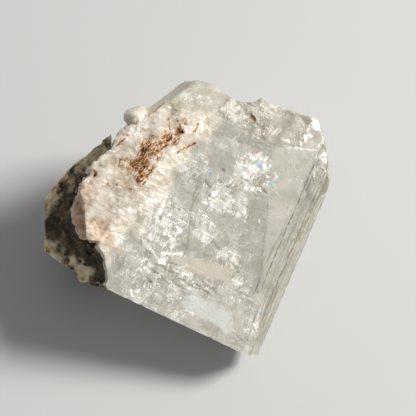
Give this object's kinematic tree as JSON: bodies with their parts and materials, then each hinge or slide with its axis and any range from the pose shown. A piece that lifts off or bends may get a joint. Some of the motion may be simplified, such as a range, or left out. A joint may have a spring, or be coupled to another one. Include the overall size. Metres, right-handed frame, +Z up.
{
  "type": "adularia crystal",
  "caption": "Loose adularia crystal: a glassy feldspar wedge with broad flat faces, milky veils, rust-brown stains and one broken end, resting on its worn underside.",
  "frame": {"origin": "the middle of the crystal's box, on the flat base that it rests on", "axes": "+X runs from the broken, overhanging end towards the sound right-hand edge; +Z is up; the broad glassy face leans down towards -Y"},
  "size_m": [0.0366, 0.035, 0.0199],
  "materials": {
    "adularia": "vitreous, cloudy inside, stained and frosted in places"
  },
  "bodies": {
    "root": {"adularia_crystal": "adularia"}
  },
  "joints": []
}
